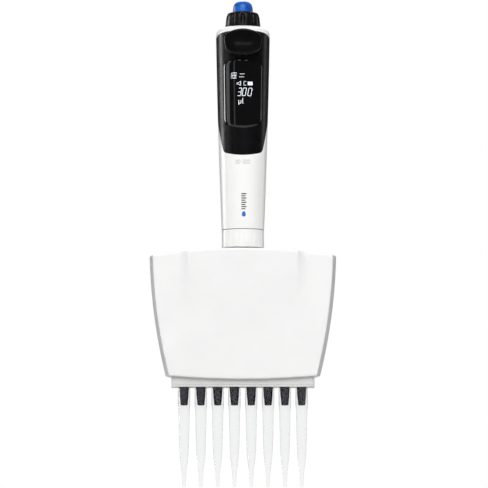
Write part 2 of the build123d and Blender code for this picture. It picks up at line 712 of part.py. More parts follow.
def handle_nodes():
    places = housing_screw_places()
    screws = [pan_screw(x, z, HOUSING_SCREW_TIP, HOUSING_SCREW_SEAT) for x, z in places]
    return {
        "rear_shell": rear_shell(),
        "front_fascia": front_fascia(),
        "display_lens": display_lens(),
        "finger_rest": finger_rest(),
        "housing_screws": screws,
        "charge_contacts": [charge_contact(x) for x in (-CONTACT_X, CONTACT_X)],
        "swivel_bush": swivel_bush(),
        "lcd_module": lcd_module(),
        "main_board": main_board(),
        "battery": battery(),
        "control_board": control_board(),
        "button_switch": button_switch(),
        "rotary_encoder": rotary_encoder(),
        "stepper_motor": stepper_motor(),
        "motor_bracket": motor_bracket(),
        "button_spring": spring(3.5, 0.25, ENCODER_HIGH, BUTTON_CEILING, 4),
        "adjusting_knob": adjusting_knob(),
        "operating_button": operating_button(),
        "ejector_key": ejector_key(),
        "ejector_link": ejector_link(),
        "ejector_rod": ejector_rod(),
        "lead_screw": lead_screw(),
        "drive_nut": drive_nut(),
        "push_rod": push_rod(),
        "coupling_nut": coupling_nut(),
    }


def head_nodes():
    screws = [pan_screw(x, z, COVER_SCREW_TIP, COVER_SCREW_SEAT) for x, z in cover_screw_places()]
    guides = [rod(GUIDE_R, BLOCK_HIGH, TOP_PLATE_LOW, x) for x in (-GUIDE_X, GUIDE_X)]
    seals = [tube(3.5, PISTON_R + 0.05, BLOCK_HIGH - 1.4, BLOCK_HIGH - 0.1, x) for x in CHANNEL_X]
    nodes = {
        "neck_tube": neck_tube(),
        "top_plate": top_plate(),
        "head_front_cover": head_cover(front=True),
        "head_rear_cover": head_cover(front=False),
        "cover_screws": screws,
        "guide_rods": guides,
        "cylinder_block": cylinder_block(),
        "seal_plate": seal_plate(),
        "piston_seals": seals,
        "cone_o_rings": [cone_o_ring(x) for x in CHANNEL_X],
        "yoke_pins": mirrored_pair(yoke_pin()),
        "ejector_springs": mirrored_pair(ejector_spring()),
        "ejector_sleeve": ejector_sleeve(),
        "ejector_yoke": ejector_yoke(),
        "ejector_strip": ejector_strip(),
        "piston_plate": piston_plate(),
        "clamp_plate": clamp_plate(),
        "pistons": [piston(x) for x in CHANNEL_X],
    }
    for number, x in enumerate(CHANNEL_X, start=1):
        nodes[f"tip_cone_{number}"] = tip_cone(x)
        nodes[f"tip_{number}"] = tip(x)
    return nodes


def write(nodes):
    os.makedirs("parts", exist_ok=True)
    for name, solid in nodes.items():
        if isinstance(solid, list):
            solid = Compound(children=[single for item in solid for single in item.solids()])
        export_step(solid, f"parts/{name}.step")


write({**handle_nodes(), **head_nodes()})
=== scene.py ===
import math

import bmesh
import bpy
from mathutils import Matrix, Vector
from mathutils.bvhtree import BVHTree


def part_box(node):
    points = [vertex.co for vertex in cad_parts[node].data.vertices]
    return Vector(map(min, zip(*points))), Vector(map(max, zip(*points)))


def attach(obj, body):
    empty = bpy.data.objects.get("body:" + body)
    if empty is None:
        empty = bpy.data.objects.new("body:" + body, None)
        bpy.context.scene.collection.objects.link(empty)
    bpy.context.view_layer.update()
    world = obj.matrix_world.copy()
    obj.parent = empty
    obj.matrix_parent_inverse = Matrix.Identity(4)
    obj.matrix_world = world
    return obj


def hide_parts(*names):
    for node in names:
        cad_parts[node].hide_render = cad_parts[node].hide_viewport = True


# The looks of an eight-channel electronic pipette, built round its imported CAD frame.
# Lengths below are in millimetres, and MM turns them into metres when a mesh is made.
MM = 0.001

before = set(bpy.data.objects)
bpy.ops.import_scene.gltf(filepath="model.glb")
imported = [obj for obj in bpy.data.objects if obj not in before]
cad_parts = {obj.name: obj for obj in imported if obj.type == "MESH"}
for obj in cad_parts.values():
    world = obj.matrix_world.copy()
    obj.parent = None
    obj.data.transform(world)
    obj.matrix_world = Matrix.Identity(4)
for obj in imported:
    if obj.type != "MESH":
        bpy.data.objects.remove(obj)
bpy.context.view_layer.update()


# ---------------------------------------------------------------- places from the frame


def corners(node):
    """The lowest and highest corner of a CAD node, in millimetres."""
    low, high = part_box(node)
    return low / MM, high / MM


COMPASS = ((-1, 0), (1, 0), (0, -1), (0, 1))


def surface_finder(*names):
    """A function that gives the front of some CAD nodes at (x, z), and bridges the gaps between them."""
    trees = []
    for name in names:
        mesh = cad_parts[name].data
        points = [v.co / MM for v in mesh.vertices]
        trees.append(BVHTree.FromPolygons(points, [tuple(p.vertices) for p in mesh.polygons]))

    def hit(x, z):
        found = [tree.ray_cast(Vector((x, -60.0, z)), Vector((0, 1, 0)))[0] for tree in trees]
        fronts = [place.y for place in found if place is not None and place.y < -1.0]
        return min(fronts) if fronts else None

    def front(x, z):
        here = hit(x, z)
        if here is not None:
            return here
        around = [(x + side * reach, z + up * reach) for reach in (0.3, 0.8) for side, up in COMPASS]
        near = [depth for depth in (hit(*place) for place in around) if depth is not None]
        return sum(near) / len(near)

    return front


def arc_through(a, b, c):
    """The circle through three (x, z) points, as its centre and radius."""
    (ax, ay), (bx, by), (cx, cy) = a, b, c
    d = 2 * (ax * (by - cy) + bx * (cy - ay) + cx * (ay - by))
    aa, bb, cc = ax * ax + ay * ay, bx * bx + by * by, cx * cx + cy * cy
    x = (aa * (by - cy) + bb * (cy - ay) + cc * (ay - by)) / d
    y = (aa * (cx - bx) + bb * (ax - cx) + cc * (bx - ax)) / d
    return x, y, math.hypot(ax - x, ay - y)


def side_curve(low, middle, high):
    """A function that gives x at a height, on the arc through three points that bulges outwards."""
    x, z, radius = arc_through(low, middle, high)
    return lambda height: x + math.sqrt(radius * radius - (height - z) ** 2)


def bow(middle, half, end):
    """A function that gives z at x, on the arc from (-half, end) over (0, middle) to (half, end)."""
    _, z, radius = arc_through((-half, end), (0, middle), (half, end))
    up = 1 if middle > end else -1
    return lambda x: z + up * math.sqrt(radius * radius - x * x)


def lerp(a, b, t):
    return a + (b - a) * t


def smooth(t):
    t = min(max(t, 0.0), 1.0)
    return t * t * (3 - 2 * t)


# ---------------------------------------------------------------- materials


def mix_colours(tree, factor, first, second):
    mix = tree.nodes.new("ShaderNodeMix")
    mix.data_type = "RGBA"
    tree.links.new(factor, mix.inputs["Factor"])
    for socket, colour in (("A", first), ("B", second)):
        if hasattr(colour, "node"):
            tree.links.new(colour, mix.inputs[6 if socket == "A" else 7])
        else:
            mix.inputs[6 if socket == "A" else 7].default_value = (*colour, 1)
    return mix.outputs[2]


def map_range(tree, value, low, high, start=0.3, end=0.7):
    node = tree.nodes.new("ShaderNodeMapRange")
    tree.links.new(value, node.inputs["Value"])
    node.inputs["From Min"].default_value = start
    node.inputs["From Max"].default_value = end
    node.inputs["To Min"].default_value = low
    node.inputs["To Max"].default_value = high
    return node.outputs["Result"]


def place(tree, stretch=(1, 1, 1)):
    """Object coordinates in metres, stretched along each axis."""
    coordinates = tree.nodes.new("ShaderNodeTexCoord")
    mapping = tree.nodes.new("ShaderNodeMapping")
    mapping.inputs["Scale"].default_value = stretch
    tree.links.new(coordinates.outputs["Object"], mapping.inputs["Vector"])
    return mapping.outputs["Vector"]


def noise(tree, scale, detail=3.0, stretch=(1, 1, 1)):
    node = tree.nodes.new("ShaderNodeTexNoise")
    node.inputs["Scale"].default_value = scale
    node.inputs["Detail"].default_value = detail
    tree.links.new(place(tree, stretch), node.inputs["Vector"])
    return node.outputs["Fac"]


def bump(tree, height, depth, below=None):
    """A bump of that depth in metres, on top of another bump if one is given."""
    node = tree.nodes.new("ShaderNodeBump")
    node.inputs["Distance"].default_value = depth
    tree.links.new(height, node.inputs["Height"])
    if below is not None:
        tree.links.new(below, node.inputs["Normal"])
    return node.outputs["Normal"]


def material(name, **sockets):
    """A new Principled material; the sockets are set on the shader itself."""
    made = bpy.data.materials.new(name)
    made.use_nodes = True
    shader = made.node_tree.nodes["Principled BSDF"]
    for socket, value in sockets.items():
        shader.inputs[socket.replace("_", " ")].default_value = value
    return made, made.node_tree, shader


def moulded(name, light, dark, roughness, spread=0.06, grain=1800.0, depth=4e-6, flow=1.0, **sockets):
    """Moulded plastic: a drifting tone, uneven gloss, a fine grain and a slight waviness."""
    made, tree, shader = material(name, **sockets)
    tone = map_range(tree, noise(tree, 55.0, 4.0, (1, 1, flow)), 0.0, 1.0)
    tree.links.new(mix_colours(tree, tone, light, dark), shader.inputs["Base Color"])
    gloss = map_range(tree, noise(tree, 210.0, 5.0), roughness - spread, roughness + spread)
    tree.links.new(gloss, shader.inputs["Roughness"])
    waves = bump(tree, noise(tree, 90.0, 1.0), depth * 3)
    tree.links.new(bump(tree, noise(tree, grain, 2.0), depth, waves), shader.inputs["Normal"])
    return made


def metal(name, light, dark, roughness, stretch=(1, 1, 12), **sockets):
    """Turned or brushed metal, with streaks across the stretched axis."""
    made, tree, shader = material(name, Metallic=1.0, **sockets)
    streaks = noise(tree, 1500.0, 4.0, stretch)
    tree.links.new(mix_colours(tree, streaks, light, dark), shader.inputs["Base Color"])
    tree.links.new(map_range(tree, streaks, roughness - 0.08, roughness + 0.1), shader.inputs["Roughness"])
    tree.links.new(bump(tree, streaks, 3e-6), shader.inputs["Normal"])
    return made


def white_plastic(name, light, dark, roughness):
    return moulded(name, light, dark, roughness, 0.05, 2600.0, 2.5e-6)


def black_plastic(name, light, dark, roughness, depth):
    return moulded(name, light, dark, roughness, 0.06, 3200.0, depth, Specular_IOR_Level=0.14)


def blue_plastic():
    """The button's cap: a deep, slightly cloudy blue."""
    made, tree, shader = material("blue_button", Specular_IOR_Level=0.3)
    cloud = map_range(tree, noise(tree, 330.0, 4.0), 0.0, 1.0, 0.36, 0.64)
    tree.links.new(
        mix_colours(tree, cloud, (0.002, 0.07, 0.38), (0.008, 0.135, 0.56)), shader.inputs["Base Color"]
    )
    tree.links.new(map_range(tree, noise(tree, 600.0, 3.0), 0.24, 0.42), shader.inputs["Roughness"])
    tree.links.new(bump(tree, noise(tree, 1500.0, 3.0), 8e-6), shader.inputs["Normal"])
    return made


def window_plastic():
    """The display's tinted window: deep black and glossy, with faint haze and fine scratches."""
    made, tree, shader = material("display_window", IOR=1.55)
    haze = noise(tree, 120.0, 3.0)
    tone = mix_colours(tree, haze, (0.0012, 0.0012, 0.0014), (0.004, 0.004, 0.005))
    tree.links.new(tone, shader.inputs["Base Color"])
    scratches = noise(tree, 900.0, 2.0, (6, 1, 0.25))
    tree.links.new(map_range(tree, scratches, 0.04, 0.09), shader.inputs["Roughness"])
    tree.links.new(bump(tree, noise(tree, 40.0, 1.0), 4e-6), shader.inputs["Normal"])
    return made


def clear_plastic():
    """The tips' clear polypropylene: see-through, greyer through more wall, with its flow lines."""
    made, tree, shader = material("clear_tip", IOR=1.17, Transmission_Weight=1.0)
    flow = noise(tree, 160.0, 2.0, (1, 1, 0.12))
    tone = mix_colours(tree, flow, (0.99, 0.992, 0.995), (0.975, 0.978, 0.98))
    tree.links.new(tone, shader.inputs["Base Color"])
    tree.links.new(map_range(tree, flow, 0.0, 0.03), shader.inputs["Roughness"])
    tree.links.new(bump(tree, flow, 4e-7), shader.inputs["Normal"])
    tint = tree.nodes.new("ShaderNodeVolumeAbsorption")
    tint.inputs["Color"].default_value = (0.2, 0.2, 0.2, 1)
    tint.inputs["Density"].default_value = 130.0
    tree.links.new(tint.outputs["Volume"], tree.nodes["Material Output"].inputs["Volume"])
    return made


def rubber():
    """Seal rubber: matt black with a dusting of paler specks."""
    made, tree, shader = material("seal_rubber", IOR=1.5)
    specks = map_range(tree, noise(tree, 2400.0, 4.0), 0.0, 1.0, 0.5, 0.8)
    tone = mix_colours(tree, specks, (0.004, 0.004, 0.005), (0.03, 0.03, 0.03))
    tree.links.new(tone, shader.inputs["Base Color"])
    tree.links.new(map_range(tree, specks, 0.6, 0.8), shader.inputs["Roughness"])
    tree.links.new(bump(tree, specks, 6e-6), shader.inputs["Normal"])
    return made


def circuit_board():
    """Green solder resist with tracks that show through as ridges."""
    made, tree, shader = material("circuit_board", IOR=1.5)
    bricks = tree.nodes.new("ShaderNodeTexBrick")
    bricks.inputs["Scale"].default_value = 260.0
    bricks.inputs["Color1"].default_value = (0.012, 0.13, 0.05, 1)
    bricks.inputs["Color2"].default_value = (0.016, 0.17, 0.07, 1)
    bricks.inputs["Mortar"].default_value = (0.05, 0.3, 0.12, 1)
    tree.links.new(place(tree, (1, 0.2, 1)), bricks.inputs["Vector"])
    tree.links.new(bricks.outputs["Color"], shader.inputs["Base Color"])
    tree.links.new(map_range(tree, noise(tree, 400.0), 0.25, 0.45), shader.inputs["Roughness"])
    tree.links.new(bump(tree, bricks.outputs["Fac"], 1.5e-5), shader.inputs["Normal"])
    return made


def printed_ink(name, light, dark, roughness):
    """Ink or lit display segments: a thin film with uneven cover."""
    return moulded(name, light, dark, roughness, 0.05, 4000.0, 2e-6)


def lit_segments():
    """Display segments, which glow faintly and unevenly."""
    made, tree, shader = material("display_segments", Emission_Strength=0.3)
    cover = noise(tree, 1400.0, 3.0)
    glow = mix_colours(tree, cover, (0.95, 0.98, 1.0), (0.72, 0.78, 0.82))
    tree.links.new(glow, shader.inputs["Base Color"])
    tree.links.new(glow, shader.inputs["Emission Color"])
    tree.links.new(map_range(tree, cover, 0.4, 0.55), shader.inputs["Roughness"])
    return made


def slot_materials():
    """A material for every slot of the record."""
    return {
        "white_casing": white_plastic("white_casing", (0.93, 0.925, 0.92), (0.90, 0.895, 0.885), 0.34),
        "white_ring": white_plastic("white_ring", (0.92, 0.915, 0.91), (0.88, 0.875, 0.865), 0.30),
        "white_head": white_plastic("white_head", (0.895, 0.893, 0.89), (0.865, 0.863, 0.86), 0.36),
        # Painted shade: the strip is coloured a darker grey than the other white plastics to stand in for
        # the shade it lies in under the head.
        "white_strip": white_plastic("white_strip", (0.7, 0.7, 0.69), (0.66, 0.66, 0.65), 0.42),
        "black_fascia": black_plastic(
            "black_fascia", (0.003, 0.0028, 0.0034), (0.0055, 0.005, 0.006), 0.31, 3e-6
        ),
        "display_window": window_plastic(),
        "black_key": black_plastic(
            "black_key", (0.003, 0.0028, 0.003), (0.0055, 0.005, 0.0055), 0.17, 2e-6
        ),
        "black_knob": black_plastic(
            "black_knob", (0.003, 0.003, 0.003), (0.006, 0.0055, 0.006), 0.30, 4e-6
        ),
        "blue_button": blue_plastic(),
        "cone_plastic": moulded(
            "cone_plastic", (0.006, 0.006, 0.014), (0.014, 0.014, 0.03), 0.16, 0.05, 2600.0, 1.5e-6, IOR=1.6
        ),
        "clear_tip": clear_plastic(),
        "seal_rubber": rubber(),
        "steel": metal("steel", (0.62, 0.62, 0.63), (0.48, 0.48, 0.5), 0.3),
        "contact_metal": metal("contact_metal", (0.9, 0.68, 0.3), (0.78, 0.56, 0.24), 0.22),
        "aluminium_plate": metal(
            "aluminium_plate", (0.78, 0.78, 0.79), (0.64, 0.64, 0.66), 0.4, (1, 12, 12)
        ),
        "bearing_plastic": moulded("bearing_plastic", (0.82, 0.81, 0.78), (0.74, 0.73, 0.69), 0.45),
        "display_glass": moulded("display_glass", (0.01, 0.012, 0.014), (0.02, 0.024, 0.026), 0.12, 0.04),
        "circuit_board": circuit_board(),
        "battery_wrap": moulded(
            "battery_wrap", (0.03, 0.16, 0.3), (0.05, 0.22, 0.38), 0.35, 0.08, 500.0, 2e-5
        ),
    }


MATERIALS = slot_materials()
SEGMENTS = lit_segments()
GREY_INK = printed_ink("grey_ink", (0.5, 0.5, 0.5), (0.62, 0.62, 0.62), 0.5)
DARK_INK = printed_ink("dark_ink", (0.03, 0.035, 0.04), (0.07, 0.07, 0.08), 0.45)
BLUE_INK = printed_ink("blue_ink", (0.01, 0.14, 0.62), (0.02, 0.2, 0.7), 0.4)


def dress_frame():
    """Gives each CAD node the finished material of its slot."""
    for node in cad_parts.values():
        for held in node.material_slots:
            held.material = MATERIALS[held.material.name.split(".")[0]]


# ---------------------------------------------------------------- mesh building


def piece(name, points, faces, finish, body, sharp=35.0):
    """A mesh in place on its body. The points are in millimetres."""
    mesh = bpy.data.meshes.new(name)
    mesh.from_pydata([Vector(p) * MM for p in points], [], faces)
    shape = bmesh.new()
    shape.from_mesh(mesh)
    bmesh.ops.remove_doubles(shape, verts=shape.verts, dist=1e-7)
    bmesh.ops.recalc_face_normals(shape, faces=shape.faces)
    shape.to_mesh(mesh)
    shape.free()
    mesh.shade_smooth()
    mesh.set_sharp_from_angle(angle=math.radians(sharp))
    made = bpy.data.objects.new(name, mesh)
    bpy.context.scene.collection.objects.link(made)
    mesh.materials.append(finish)
    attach(made, body)
    return made


def stands_for(made, slot_name, *nodes):
    """Hides the CAD nodes that a piece replaces."""
    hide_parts(*nodes)
    return made


def grid_faces(rows, columns, around=False, start=0):
    """Quads between rows of points that follow each other in one list."""
    faces = []
    for i in range(rows - 1):
        for j in range(columns if around else columns - 1):
            k = (j + 1) % columns
            first, second = start + i * columns, start + (i + 1) * columns
            faces.append((first + j, first + k, second + k, second + j))
    return faces


def lathe(profile, around, x=0.0, shift=None, closed=True):
    """Points and faces of a profile of (radius, height) turned about an upright axis.
    shift(angle, radius, height) gives another radius, for flutes and ribs."""
    if closed:
        profile = profile + profile[:1]
    points = []
    for radius, height in profile:
        for k in range(around):
            angle = 2 * math.pi * k / around
            r = shift(angle, radius, height) if shift else radius
            points.append((x + r * math.cos(angle), r * math.sin(angle), height))
    return points, grid_faces(len(profile), around, around=True)


def joined(*shapes):
    """Several (points, faces) as one."""
    points, faces = [], []
    for more_points, more_faces in shapes:
        base = len(points)
        points += more_points
        faces += [tuple(base + i for i in face) for face in more_faces]
    return points, faces


def rounded(profile, radii, steps=6):
    """A profile whose listed corners, by index, are rounded with so many steps."""
    out = []
    for i, point in enumerate(profile):
        if i not in radii:
            out.append(point)
            continue
        before, after = profile[i - 1], profile[(i + 1) % len(profile)]
        corner = Vector(point)
        to_before, to_after = Vector(before) - corner, Vector(after) - corner
        cut = min(radii[i], to_before.length * 0.49, to_after.length * 0.49)
        a = corner + to_before.normalized() * cut
        b = corner + to_after.normalized() * cut
        for step in range(steps + 1):
            t = step / steps
            p = a * (1 - t) ** 2 + corner * 2 * t * (1 - t) + b * t * t
            out.append((p.x, p.y))
    return out


def arched_loop(low, low_sag, low_half, high, high_sag, high_half, cut, per_side=16, per_corner=8):
    """A closed front-view outline with bowed ends and rounded corners, anticlockwise."""
    bottom = bow(low, low_half, low + low_sag)
    top = bow(high, high_half, high - high_sag)
    corner_points = [
        (-low_half, low + low_sag), (low_half, low + low_sag),
        (high_half, high - high_sag), (-high_half, high - high_sag),
    ]

    def along(side, t):
        (x0, z0), (x1, z1) = corner_points[side], corner_points[(side + 1) % 4]
        x = lerp(x0, x1, t)
        if side == 0:
            return Vector((x, bottom(x)))
        if side == 2:
            return Vector((x, top(x)))
        return Vector((x, lerp(z0, z1, t)))

    loop = []
    for side in range(4):
        length = (Vector(corner_points[side]) - Vector(corner_points[(side + 1) % 4])).length
        trim = cut / length
        for k in range(per_side):
            loop.append(along(side, lerp(trim, 1 - trim, k / per_side)))
        corner = Vector(corner_points[(side + 1) % 4])
        next_length = (corner - Vector(corner_points[(side + 2) % 4])).length
        a, b = along(side, 1 - trim), along((side + 1) % 4, cut / next_length)
        for k in range(per_corner):
            t = k / per_corner
            loop.append(a * (1 - t) ** 2 + corner * 2 * t * (1 - t) + b * t * t)
    return loop


def inset_loop(loop, distance):
    """The loop moved inwards by a distance."""
    out = []
    for i, point in enumerate(loop):
        along = loop[(i + 1) % len(loop)] - loop[i - 1]
        inwards = Vector((-along.y, along.x)).normalized()
        out.append(point + inwards * distance)
    return out


def pillow(loop, walls, rings, face, back):
    """A plate with a closed outline. walls are (inset, y) pairs from the back to the front rim,
    where y is a function of (x, z); face and back are functions too, filled with rings."""
    points = []
    edge = []
    for inset, y in walls:
        edge = inset_loop(loop, inset) if inset else loop
        points += [(p.x, y(p.x, p.y), p.y) for p in edge]
    count = len(loop)
    centre = sum(edge, Vector((0, 0))) / count
    faces = []
    for k in range(1, rings + 1):
        share = 1 - k / rings
        points += [
            (q.x, face(q.x, q.y), q.y) for q in (centre + (p - centre) * share for p in edge)
        ]
    faces += grid_faces(len(walls) + rings, count, around=True)
    base = len(points)
    middle = sum(loop, Vector((0, 0))) / count
    for k in range(rings + 1):
        share = 1 - k / rings
        points += [
            (q.x, back(q.x, q.y), q.y) for q in (middle + (p - middle) * share for p in loop)
        ]
    faces += grid_faces(rings + 1, count, around=True, start=base)
    return points, faces


def settle(made):
    """Applies an object's modifiers to its mesh."""
    bpy.context.view_layer.update()
    shown = made.evaluated_get(bpy.context.evaluated_depsgraph_get())
    made.data = bpy.data.meshes.new_from_object(shown)
    made.modifiers.clear()


def cut_away(made, shape, thorough=False):
    """Cuts a closed shape, given as (points, faces), out of a piece; thorough bears crossing faces."""
    points, faces = shape
    mesh = bpy.data.meshes.new("cutter")
    mesh.from_pydata([Vector(p) * MM for p in points], [], faces)
    edit = bmesh.new()
    edit.from_mesh(mesh)
    bmesh.ops.remove_doubles(edit, verts=edit.verts, dist=1e-7)
    bmesh.ops.recalc_face_normals(edit, faces=edit.faces)
    edit.to_mesh(mesh)
    edit.free()
    cutter = bpy.data.objects.new("cutter", mesh)
    bpy.context.scene.collection.objects.link(cutter)
    modifier = made.modifiers.new("cut", "BOOLEAN")
    modifier.object = cutter
    modifier.solver = "EXACT"
    modifier.use_self = thorough
    settle(made)
    bpy.data.objects.remove(cutter)


# ---------------------------------------------------------------- the head's covers

HEAD_LOW, HEAD_HIGH = corners("head_front_cover")
HEAD_HALF = HEAD_HIGH.x
HEAD_TOP_SAG = 3.8
HEAD_BOTTOM_SAG = 1.9
HEAD_LOW_HALF = 41.35
HEAD_WAIST = (48.5, 99.6)
HEAD_CORNER_HIGH = HEAD_HIGH.z - HEAD_TOP_SAG
HEAD_CORNER_LOW = HEAD_LOW.z + HEAD_BOTTOM_SAG
WING_TOP = 13.0
WING_BOTTOM = 11.4
PANEL_TOP = -HEAD_LOW.y
PANEL_FADE = 66.0
PANEL_EDGE = ((20.5, 62.0), (28.4, 100.0), (29.4, 128.3))
FLANK = 1.8
HEAD_EDGE_R = 0.9
HEAD_WALL = 1.4
SEAM = 0.06
NECK_HOLE_R = 8.8
COVER_SCREWS = ((44.0, 112.0), (42.0, 87.0))
SCREW_SEAT = 9.0
COUNTERBORE_R = 1.8
BOSS_R = 2.2

head_side = side_curve((HEAD_LOW_HALF, HEAD_CORNER_LOW), HEAD_WAIST, (HEAD_HALF, HEAD_CORNER_HIGH))
panel_side = side_curve(*PANEL_EDGE)
head_top = bow(HEAD_HIGH.z, HEAD_HALF, HEAD_CORNER_HIGH)
head_bottom = bow(HEAD_LOW.z, HEAD_LOW_HALF, HEAD_CORNER_LOW)


def head_depth(x, z):
    """Half the head's thickness: wings, and a raised panel whose edge fades downwards."""
    wing = lerp(WING_BOTTOM, WING_TOP, (z - HEAD_LOW.z) / (HEAD_HIGH.z - HEAD_LOW.z))
    panel = lerp(WING_BOTTOM, PANEL_TOP, (z - PANEL_FADE) / (HEAD_HIGH.z - PANEL_FADE))
    rise = panel - wing
    step = (rise + math.sqrt(rise * rise + 0.3)) / 2 - 0.02
    width, softness = panel_edge(z)
    away = (abs(x) - panel_side(z)) / width
    away = (away + math.sqrt(away * away + softness * softness)) / 2
    return wing + step * max(0.0, 1 - away) ** 2


def panel_edge(z):
    """How wide the panel's edge slopes, and how soft its crest is, at a height."""
    down = max(0.0, HEAD_HIGH.z - z)
    return 4.6 + 0.16 * down, 0.03 + 0.9 * smooth(down / 45.0)


def head_columns():
    """Functions of the height that give each column's x on the right half, with its depth share."""
    columns = []
    for k in range(7):
        columns.append((lambda z, t=k / 7: t * (panel_side(z) - 0.6 * panel_edge(z)[0]), 1.0))
    for share in (-0.6, -0.4, -0.25, -0.14, -0.07, -0.03, 0, 0.03, 0.07, 0.14, 0.25, 0.4, 0.6, 0.8, 1.0):
        columns.append((lambda z, s=share: panel_side(z) + s * panel_edge(z)[0], 1.0))
    flat = FLANK + HEAD_EDGE_R
    for k in range(1, 7):
        columns.append((
            lambda z, t=k / 6: lerp(panel_side(z) + panel_edge(z)[0], head_side(z) - flat, t), 1.0
        ))
    for k in range(1, 6):
        angle = math.radians(90 * k / 5)
        inset = flat - HEAD_EDGE_R * math.sin(angle)
        share = 1 - HEAD_EDGE_R * (1 - math.cos(angle)) / WING_TOP
        columns.append((lambda z, i=inset: head_side(z) - i, share))
    for k in range(1, 5):
        t = k / 4
        inset = FLANK * (1 - t)
        share = (1 - HEAD_EDGE_R / WING_TOP) * (1 - t)
        columns.append((lambda z, i=inset: head_side(z) - i, share))
    return columns


def head_rows():
    """(share of the height, depth share) pairs from the bottom edge to the seam at the top."""
    height = HEAD_HIGH.z - HEAD_LOW.z
    radius = 1.0
    steps = 5
    rows = []
    for k in range(steps):
        angle = math.radians(90 * k / steps)
        share = 1 - radius * (1 - math.sin(angle)) / WING_TOP
        rows.append((radius * (1 - math.cos(angle)) / height, share))
    body = 44
    low, high = radius / height, 1 - radius / height
    for k in range(body + 1):
        rows.append((lerp(low, high, k / body), 1.0))
    for k in range(steps - 1, -1, -1):
        angle = math.radians(90 * k / steps)
        share = 1 - radius * (1 - math.sin(angle)) / WING_TOP
        rows.append((1 - radius * (1 - math.cos(angle)) / height, share))
    for t in (0.75, 0.5, 0.25, 0.0):
        rows.append((1.0, t * (1 - radius / WING_TOP)))
    return rows


def head_shell(side):
    """One cover's outer surface; side is -1 for the front and 1 for the rear."""
    right = head_columns()
    columns = [(column, share, -1) for column, share in reversed(right[1:])]
    columns += [(column, share, 1) for column, share in right]
    rows = head_rows()
    points = []
    for up, row_share in rows:
        for column, column_share, hand in columns:
            z = lerp(HEAD_CORNER_LOW, HEAD_CORNER_HIGH, up)
            for _ in range(3):
                x = column(z)
                across = x / head_side(z)
                z = lerp(head_bottom(across * HEAD_LOW_HALF), head_top(across * HEAD_HALF), up)
            depth = head_depth(x, z) * row_share * column_share
            points.append((hand * x, side * (SEAM + depth * (1 - SEAM / WING_TOP)), z))
    return points, grid_faces(len(rows), len(columns))


def head_cover(name, node, side, *bores):
    """One half of the head's casing, with its wall, its half of the neck's hole and any bores."""
    made = piece(name, *head_shell(side), MATERIALS["white_head"], "head", 40.0)
    wall = made.modifiers.new("wall", "SOLIDIFY")
    wall.thickness = HEAD_WALL * MM
    wall.offset = -1.0
    settle(made)
    top = HEAD_HIGH.z
    hole = [(0.0, top - 7), (NECK_HOLE_R, top - 7), (NECK_HOLE_R, top + 3), (0.0, top + 3)]
    cut_away(made, joined(lathe(hole, 64, closed=False), *bores), thorough=bool(bores))
    return stands_for(made, "white_head", node)


def along_y(shape, x, z):
    """A turned shape laid along Y at (x, z), its heights becoming depths."""
    points, faces = shape
    return [(x + px, pz, z + py) for px, py, pz in points], faces


def head_covers():
    """Both covers, with the rear one's counterbores and the sockets that hold its screws."""
    head_cover("head_shell_front", "head_front_cover", -1)
    bores, sockets = [], []
    for x, z in [(hand * x, z) for hand in (-1, 1) for x, z in COVER_SCREWS]:
        bore = [(0.0, SCREW_SEAT), (COUNTERBORE_R, SCREW_SEAT), (COUNTERBORE_R, 30.0), (0.0, 30.0)]
        bores.append(along_y(lathe(bore, 32, closed=False), x, z))
        rim = head_depth(abs(x), z) - 0.5
        wall = [(COUNTERBORE_R, SCREW_SEAT), (COUNTERBORE_R, rim), (BOSS_R, rim), (BOSS_R, SCREW_SEAT)]
        sockets.append(along_y(lathe(wall, 32), x, z))
    head_cover("head_shell_rear", "head_rear_cover", 1, *bores)
    made = piece("screw_sockets", *joined(*sockets), MATERIALS["white_head"], "head")


# ---------------------------------------------------------------- key, window, knob and button

on_handle = surface_finder("rear_shell", "front_fascia", "display_lens")


def tip_key():
    """The thumb key: a crowned block with a bevelled rim, hollowed for the thumb."""
    low, high = corners("ejector_key")
    bottom, top, front = 230.3, high.z, low.y
    loop = arched_loop(bottom, 3.0, 9.5, top, 3.6, 10.3, 2.4)

    def crown(x, z):
        return front + 1.9 * (x / 10.3) ** 2 + 0.35 * ((z - 237.4) / 7.0) ** 2

    def hollow(x, z):
        across = math.hypot(max(0.0, abs(x) - 3.0) / 4.8, (z - 238.4) / 4.6)
        return 0.4 * (1 - smooth(across)) if across < 1 else 0.0

    def back(x, z):
        return -16.05 * math.sqrt(1 - (x / 15.1) ** 2)

    bevel = 0.85
    walls = [(0.0, back), (0.0, lambda x, z: crown(x, z) + 1.6)]
    for k in range(7):
        angle = math.radians(90 * k / 6)
        walls.append((
            bevel * (1 - math.cos(angle)),
            lambda x, z, a=angle: crown(x, z) + 0.25 + bevel * (1 - math.sin(a)),
        ))
    walls.append((bevel + 0.35, lambda x, z: crown(x, z) + 0.32))
    shape = pillow(loop, walls, 16, lambda x, z: crown(x, z) + 0.4 + hollow(x, z), back)
    stem_low, stem_high = corners("ejector_link")
    half = 4.0
    stem = [
        (x, y, z) for x in (-half, half) for y in (-16.6, -10.6) for z in (stem_low.z, stem_high.z)
    ]
    stem_faces = [(0, 1, 3, 2), (4, 6, 7, 5), (0, 4, 5, 1), (2, 3, 7, 6), (0, 2, 6, 4), (1, 5, 7, 3)]
    made = piece("thumb_key", *joined(shape, (stem, stem_faces)), MATERIALS["black_key"], "key", 50.0)
    return stands_for(made, "black_key", "ejector_key")


WINDOW_PROUD = 0.28


def window_section(z):
    """The handle's half width and half depth at a height, found inside the window's rim."""
    across = 8.0
    depth = -on_handle(0.0, z)
    beside = -on_handle(across, z)
    return across / math.sqrt(1 - (beside / depth) ** 2), depth


SECTION_HEIGHTS = (197.0, 222.0)
WINDOW_SECTIONS = [window_section(z) for z in SECTION_HEIGHTS]


